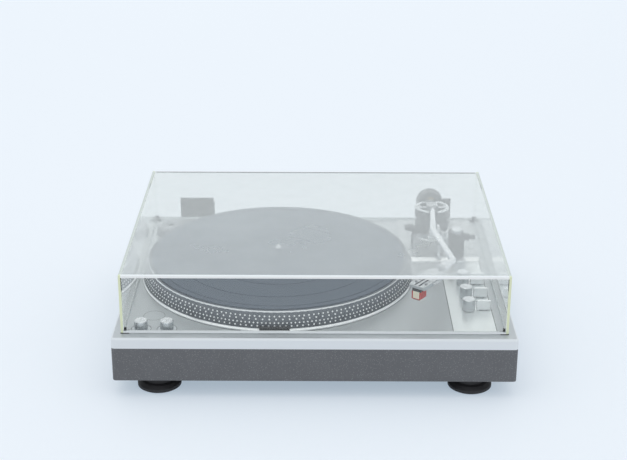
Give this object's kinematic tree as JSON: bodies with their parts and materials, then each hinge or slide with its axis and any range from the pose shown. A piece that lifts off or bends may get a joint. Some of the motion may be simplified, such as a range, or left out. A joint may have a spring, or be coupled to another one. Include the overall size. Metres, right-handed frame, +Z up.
{
  "type": "turntable",
  "caption": "Flat direct-drive record turntable with a silver deck, strobe-dotted platter, S-shaped tonearm, right-hand control strip and a hinged clear dust cover.",
  "frame": {"origin": "centre of the whole object's footprint, on the surface that the feet stand on", "axes": "+X to the right as seen from the front, +Y to the rear, +Z up"},
  "size_m": [0.453, 0.374, 0.1443],
  "materials": {
    "satin_aluminium": "satin silver with a fine even grain",
    "plinth_charcoal": "charcoal grey with fine pale speckles, low sheen",
    "black_board": "matt black pressed sheet",
    "screw_steel": "plain bright steel",
    "foot_rubber": "matt black rubber",
    "motor_steel": "pressed zinc-plated steel",
    "coil_copper": "lacquered copper windings on a brown board",
    "bearing_brass": "turned brass",
    "board_green": "green lacquered board",
    "component_black": "moulded black cases",
    "black_plastic": "black moulding, fine texture",
    "strobe_red": "clear red window",
    "mirror_strip": "polished mirror-like metal",
    "platter_aluminium": "machined rim with a bright polished lip",
    "mat_rubber": "black rubber with moulded grooves",
    "spindle_chrome": "polished steel",
    "lid_acrylic": "clear moulded acrylic",
    "bumper_rubber": "soft black rubber",
    "hinge_plastic": "black moulding",
    "pillar_black": "satin black paint",
    "gimbal_silver": "satin turned metal",
    "hub_dark": "dark anodised",
    "tube_chrome": "bright plated tube",
    "headshell_silver": "satin silver",
    "cartridge_black": "glossy black moulding",
    "stylus_cream": "cream moulding",
    "guard_red": "translucent red moulding",
    "weight_metal": "blackened turned metal with a knurled edge",
    "dial_black": "black ring",
    "clip_pale": "pale grey moulding",
    "lever_dark": "dark grey painted",
    "lift_rubber": "rubber-faced bar",
    "knob_silver": "turned and fluted, bright edge",
    "paddle_silver": "polished blade",
    "adaptor_silver": "turned satin metal"
  },
  "bodies": {
    "chassis": {"deck_plate": "satin_aluminium", "plinth_frame": "plinth_charcoal", "bottom_cover": "black_board", "cover_screws": "screw_steel", "rubber_feet": "foot_rubber", "foot_bolts": "screw_steel", "motor_housing": "motor_steel", "stator_coils": "coil_copper", "bearing_housing": "bearing_brass", "circuit_board": "board_green", "board_components": "component_black", "transformer": "motor_steel", "strobe_housing": "black_plastic", "strobe_window": "strobe_red", "control_panel": "mirror_strip", "control_bodies": "component_black", "hinge_bases": "hinge_plastic", "hinge_pins": "screw_steel", "cord_glands": "black_plastic", "ground_terminal": "screw_steel", "tonearm_plate": "mirror_strip", "arm_base": "pillar_black", "arm_rest_post": "tube_chrome", "cue_housing": "black_plastic", "lift_barrel": "tube_chrome"},
    "lid": {"lid_cover": "lid_acrylic", "lid_bumpers": "bumper_rubber", "lid_hinge_leaves": "hinge_plastic"},
    "rotor": {"platter": "platter_aluminium", "platter_mat": "mat_rubber", "rotor_magnet": "motor_steel", "spindle": "spindle_chrome"},
    "arm_yoke": {"gimbal_ring": "gimbal_silver", "pivot_screws": "screw_steel"},
    "arm_beam": {"arm_hub": "hub_dark", "arm_tube": "tube_chrome"},
    "weight_screw": {"weight_bush": "bearing_brass", "force_dial": "dial_black"},
    "weight": {"counterweight": "weight_metal"},
    "collar": {"headshell_collar": "tube_chrome"},
    "head": {"headshell": "headshell_silver", "cartridge_body": "cartridge_black", "cartridge_screws": "screw_steel", "stylus_holder": "stylus_cream", "finger_lift": "headshell_silver"},
    "guard": {"stylus_guard": "guard_red"},
    "rest_clip": {"arm_rest_clip": "clip_pale"},
    "lever": {"cue_lever": "lever_dark"},
    "lift_bar": {"cue_lift_bar": "lift_rubber"},
    "antiskate": {"antiskate_knob": "knob_silver"},
    "speed_selector": {"speed_knob": "knob_silver"},
    "size_selector": {"size_knob": "knob_silver"},
    "lift_speed_selector": {"lift_speed_knob": "knob_silver"},
    "repeat_selector": {"repeat_knob": "knob_silver"},
    "start_key": {"start_paddle": "paddle_silver"},
    "stop_key": {"stop_paddle": "paddle_silver"},
    "mode_key": {"mode_paddle": "paddle_silver"},
    "pitch_left": {"pitch_knob_left": "knob_silver"},
    "pitch_right": {"pitch_knob_right": "knob_silver"},
    "adaptor": {"single_adaptor": "adaptor_silver"}
  },
  "joints": [
    {"name": "lid_hinge", "type": "hinge", "parent": "chassis", "child": "lid", "pos_m": [0, 0.179, 0.0875], "axis": [-1, 0, 0], "range_deg": [0, 65]},
    {"name": "platter_spin", "type": "hinge", "parent": "chassis", "child": "rotor", "pos_m": [-0.045, -0.0045, 0.0735], "axis": [0, 0, 1], "continuous": true},
    {"name": "arm_swing", "type": "hinge", "parent": "chassis", "child": "arm_yoke", "pos_m": [0.15, 0.097, 0.1175], "axis": [0, 0, -1], "range_deg": [0, 40]},
    {"name": "arm_tilt", "type": "hinge", "parent": "arm_yoke", "child": "arm_beam", "pos_m": [0.15, 0.097, 0.1175], "axis": [-1, 0, 0], "range_deg": [-0.4, 3.5]},
    {"name": "weight_turn", "type": "hinge", "parent": "arm_beam", "child": "weight_screw", "pos_m": [0.15, 0.1357, 0.1175], "axis": [0, 1, 0], "range_deg": [-360, 360]},
    {"name": "weight_travel", "type": "slide", "parent": "arm_beam", "child": "weight", "axis": [0, 1, 0], "range_m": [-0.0035, 0.0035]},
    {"name": "collar_turn", "type": "hinge", "parent": "arm_beam", "child": "collar", "pos_m": [0.15024, -0.09018, 0.1175], "axis": [-0.5878, -0.809, 0], "range_deg": [0, 40]},
    {"name": "head_pull", "type": "slide", "parent": "arm_beam", "child": "head", "axis": [-0.5878, -0.809, 0], "range_m": [0, 0.015]},
    {"name": "guard_pull", "type": "slide", "parent": "head", "child": "guard", "axis": [-0.5878, -0.809, 0], "range_m": [0, 0.012]},
    {"name": "clip_swing", "type": "hinge", "parent": "chassis", "child": "rest_clip", "pos_m": [0.15261, 0.0295, 0.119], "axis": [0, -1, 0], "range_deg": [0, 200]},
    {"name": "lever_swing", "type": "hinge", "parent": "chassis", "child": "lever", "pos_m": [0.186, 0.046, 0.0985], "axis": [-1, 0, 0], "range_deg": [0, 33]},
    {"name": "lift_rise", "type": "slide", "parent": "chassis", "child": "lift_bar", "axis": [0, 0, 1], "range_m": [0, 0.0058]},
    {"name": "antiskate_turn", "type": "hinge", "parent": "chassis", "child": "antiskate", "pos_m": [0.177, 0.04, 0.1055], "axis": [0, 0, -1], "range_deg": [0, 270]},
    {"name": "speed_turn", "type": "hinge", "parent": "chassis", "child": "speed_selector", "pos_m": [0.178, -0.109, 0.0735], "axis": [0, 0, -1], "range_deg": [0, 45]},
    {"name": "size_turn", "type": "hinge", "parent": "chassis", "child": "size_selector", "pos_m": [0.178, -0.0742, 0.0735], "axis": [0, 0, -1], "range_deg": [0, 90]},
    {"name": "lift_speed_turn", "type": "hinge", "parent": "chassis", "child": "lift_speed_selector", "pos_m": [0.178, -0.0374, 0.0735], "axis": [0, 0, -1], "range_deg": [0, 45]},
    {"name": "repeat_turn", "type": "hinge", "parent": "chassis", "child": "repeat_selector", "pos_m": [0.178, -0.0002, 0.0735], "axis": [0, 0, -1], "range_deg": [0, 300]},
    {"name": "start_press", "type": "hinge", "parent": "chassis", "child": "start_key", "pos_m": [0.1953, -0.109, 0.0675], "axis": [1, 0, 0], "range_deg": [0, 10], "stiffness_Nm_per_rad": 0.05},
    {"name": "stop_press", "type": "hinge", "parent": "chassis", "child": "stop_key", "pos_m": [0.1953, -0.0742, 0.0675], "axis": [1, 0, 0], "range_deg": [0, 10], "stiffness_Nm_per_rad": 0.05},
    {"name": "mode_tip", "type": "hinge", "parent": "chassis", "child": "mode_key", "pos_m": [0.1953, -0.0374, 0.0675], "axis": [1, 0, 0], "range_deg": [-10, 10]},
    {"name": "pitch_left_turn", "type": "hinge", "parent": "chassis", "child": "pitch_left", "pos_m": [-0.195, -0.161, 0.0735], "axis": [0, 0, -1], "range_deg": [-135, 135]},
    {"name": "pitch_right_turn", "type": "hinge", "parent": "chassis", "child": "pitch_right", "pos_m": [-0.166, -0.161, 0.0735], "axis": [0, 0, -1], "range_deg": [-135, 135]},
    {"name": "adaptor_lift", "type": "slide", "parent": "chassis", "child": "adaptor", "axis": [0, 0, 1], "range_m": [0, 0.03]}
  ],
  "couplings": [
    {"joint": "weight_turn", "follows": "weight_travel", "rad_per_m": 1795.2},
    {"joint": "lever_swing", "follows": "lift_rise", "rad_per_m": 90.276}
  ]
}
